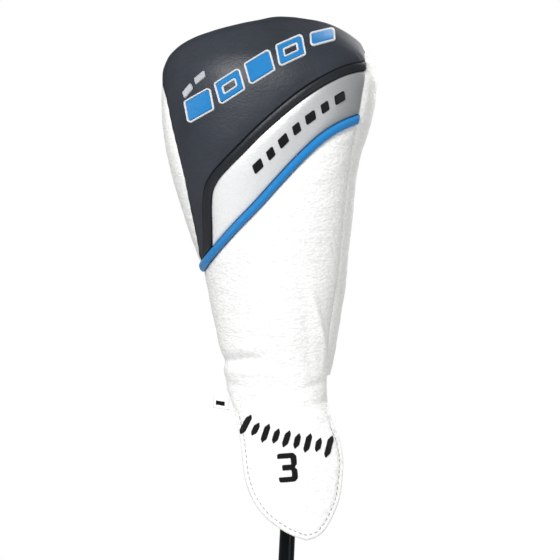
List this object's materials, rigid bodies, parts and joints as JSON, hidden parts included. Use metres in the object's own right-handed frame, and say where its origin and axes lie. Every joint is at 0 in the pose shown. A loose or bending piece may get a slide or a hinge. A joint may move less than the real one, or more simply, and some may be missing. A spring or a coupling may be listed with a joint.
{
  "type": "fairway wood with headcover",
  "caption": "Golf fairway wood: tapered black shaft with rubber grip, hollow steel head on a screwed hosel, and a sewn padded headcover with a tongue.",
  "frame": {"origin": "centre of the grip's butt face, on the shaft axis", "axes": "+Z along the shaft from the butt to the head, as the club stands in a bag; -X towards the toe and +X towards the heel; +Y the way the club face looks, so -Y is the headcover's front with the tongue"},
  "size_m": [0.1306, 0.1132, 1.1712],
  "materials": {
    "rubber_grip": "matte",
    "tape": "matte",
    "shaft_black": "gloss",
    "brass_weight": "satin",
    "ferrule_black": "gloss",
    "sleeve_alloy": "satin",
    "ring_plastic": "matte",
    "steel_body": "satin",
    "steel_face": "satin",
    "composite_crown": "gloss",
    "steel_screw": "satin",
    "tungsten": "satin",
    "charcoal_vinyl": "satin",
    "black_trim": "satin",
    "silver_vinyl": "satin",
    "blue_piping": "satin",
    "white_leather": "satin",
    "white_gusset": "satin",
    "fleece": "matte",
    "elastic": "matte",
    "thread_blue": "satin",
    "thread_white": "satin",
    "thread_silver": "satin",
    "thread_black": "satin",
    "tag_woven": "matte"
  },
  "bodies": {
    "shaft_assembly": {"grip": "rubber_grip", "grip_tape": "tape", "shaft": "shaft_black", "tip_weight": "brass_weight", "ferrule": "ferrule_black", "loft_sleeve": "sleeve_alloy"},
    "head": {"head_body": "steel_body", "face_plate": "steel_face", "crown_plate": "composite_crown", "rear_weight": "tungsten", "front_ballast": "tungsten", "stiffener_bars": "steel_body", "index_ring": "ring_plastic"},
    "screw_carrier": {"screw_washer": "steel_screw"},
    "screw": {"hosel_screw": "steel_screw"},
    "headcover": {"top_panel": "charcoal_vinyl", "silver_band": "silver_vinyl", "front_panel": "white_leather", "black_trim": "black_trim", "blue_piping": "blue_piping", "back_panel": "charcoal_vinyl", "toe_gusset": "white_gusset", "heel_gusset": "white_gusset", "fleece_lining": "fleece", "neck_elastic": "elastic", "blue_motif": "thread_blue", "blue_motif_outline": "thread_white", "small_motif": "thread_silver", "band_motif": "thread_black", "tongue_motif": "thread_black", "club_number": "thread_black", "tongue_stitches": "thread_white", "seam_tag": "tag_woven"}
  },
  "joints": [
    {"name": "head_release", "type": "slide", "parent": "shaft_assembly", "child": "head", "axis": [0, 0, 1], "range_m": [0, 0.05]},
    {"name": "screw_back_out", "type": "slide", "parent": "head", "child": "screw_carrier", "axis": [0, 0, 1], "range_m": [0, 0.0072]},
    {"name": "screw_turn", "type": "hinge", "parent": "screw_carrier", "child": "screw", "pos_m": [0, 0, 1.085], "axis": [0, 0, 1], "range_deg": [0, 3240]},
    {"name": "cover_slide", "type": "slide", "parent": "head", "child": "headcover", "axis": [0, 0, 1], "range_m": [0, 0.33], "deforming": ["top_panel", "silver_band", "front_panel", "black_trim", "blue_piping", "back_panel", "toe_gusset", "heel_gusset", "fleece_lining", "neck_elastic", "blue_motif", "blue_motif_outline", "small_motif", "band_motif", "tongue_motif", "club_number", "tongue_stitches", "seam_tag"]}
  ],
  "couplings": [
    {"joint": "screw_turn", "follows": "screw_back_out", "rad_per_m": 7854}
  ]
}
